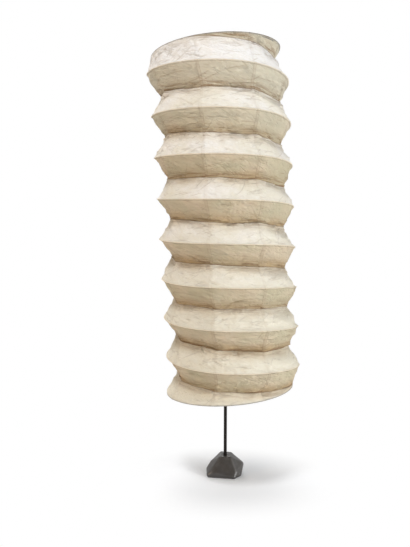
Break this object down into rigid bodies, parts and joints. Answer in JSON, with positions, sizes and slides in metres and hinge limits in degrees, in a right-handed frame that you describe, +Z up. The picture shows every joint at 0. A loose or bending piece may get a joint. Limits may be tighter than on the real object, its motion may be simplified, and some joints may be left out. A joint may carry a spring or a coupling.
{
  "type": "paper lantern floor lamp",
  "caption": "Tall concertina paper lantern on a spiral wire rib, hung between wire supports on a thin stem with an iron pebble base.",
  "frame": {"origin": "on the floor under the base, on the axis of the stem", "axes": "+Z up along the stem, +X to the right and -Y towards the viewer of the picture"},
  "size_m": [0.5558, 0.4932, 1.5627],
  "materials": {
    "iron": "dark rough cast, waxed",
    "pad": "matt black rubber",
    "black_metal": "satin black",
    "zinc": "zinc plated",
    "wire": "drawn spring wire",
    "phenolic": "black moulded phenolic",
    "brass": "plain stamped brass",
    "opal_glass": "opal white glass",
    "paper": "matt wrinkled mulberry paper"
  },
  "bodies": {
    "stand": {"base_casting": "iron", "base_pad": "pad", "base_washer": "zinc", "base_nut": "zinc", "cord_bush": "pad", "stem_lower": "black_metal", "stem_coupling": "black_metal", "stem_upper": "black_metal", "hub_stop": "black_metal", "cap_nut": "black_metal", "lower_bracket": "black_metal", "lower_bracket_screw": "zinc", "lower_nipple": "zinc", "lower_locknut": "zinc", "lower_holder_cap": "phenolic", "lower_holder_shell": "phenolic", "lower_holder_insert": "brass", "lower_bulb_cap": "zinc", "lower_bulb_glass": "opal_glass", "upper_bracket": "black_metal", "upper_bracket_screw": "zinc", "upper_nipple": "zinc", "upper_locknut": "zinc", "upper_holder_cap": "phenolic", "upper_holder_shell": "phenolic", "upper_holder_insert": "brass", "upper_bulb_cap": "zinc", "upper_bulb_glass": "opal_glass"},
    "shade": {"top_hub": "black_metal", "top_arms": "black_metal", "top_rim": "wire", "shade_rib": "wire", "shade_gore_1": "paper", "shade_gore_2": "paper", "shade_gore_3": "paper", "shade_gore_4": "paper", "shade_gore_5": "paper", "shade_gore_6": "paper", "shade_gore_7": "paper", "shade_gore_8": "paper"},
    "bottom_support": {"bottom_collar": "black_metal", "bottom_arms": "black_metal", "bottom_rim": "wire"},
    "thumb_screw": {"thumb_screw": "zinc"}
  },
  "joints": [
    {"name": "shade_turn", "type": "hinge", "parent": "stand", "child": "shade", "pos_m": [0, 0, 1.52923], "axis": [0, 0, 1], "continuous": true},
    {"name": "support_slide", "type": "slide", "parent": "shade", "child": "bottom_support", "axis": [0, 0, 1], "range_m": [0, 0.2], "deforming": ["shade_rib", "shade_gore_1", "shade_gore_2", "shade_gore_3", "shade_gore_4", "shade_gore_5", "shade_gore_6", "shade_gore_7", "shade_gore_8"]},
    {"name": "thumb_screw_turn", "type": "hinge", "parent": "bottom_support", "child": "thumb_screw", "pos_m": [0, 0, 0.33882], "axis": [-0.848, 0.5299, 0], "range_deg": [0, 450]}
  ]
}
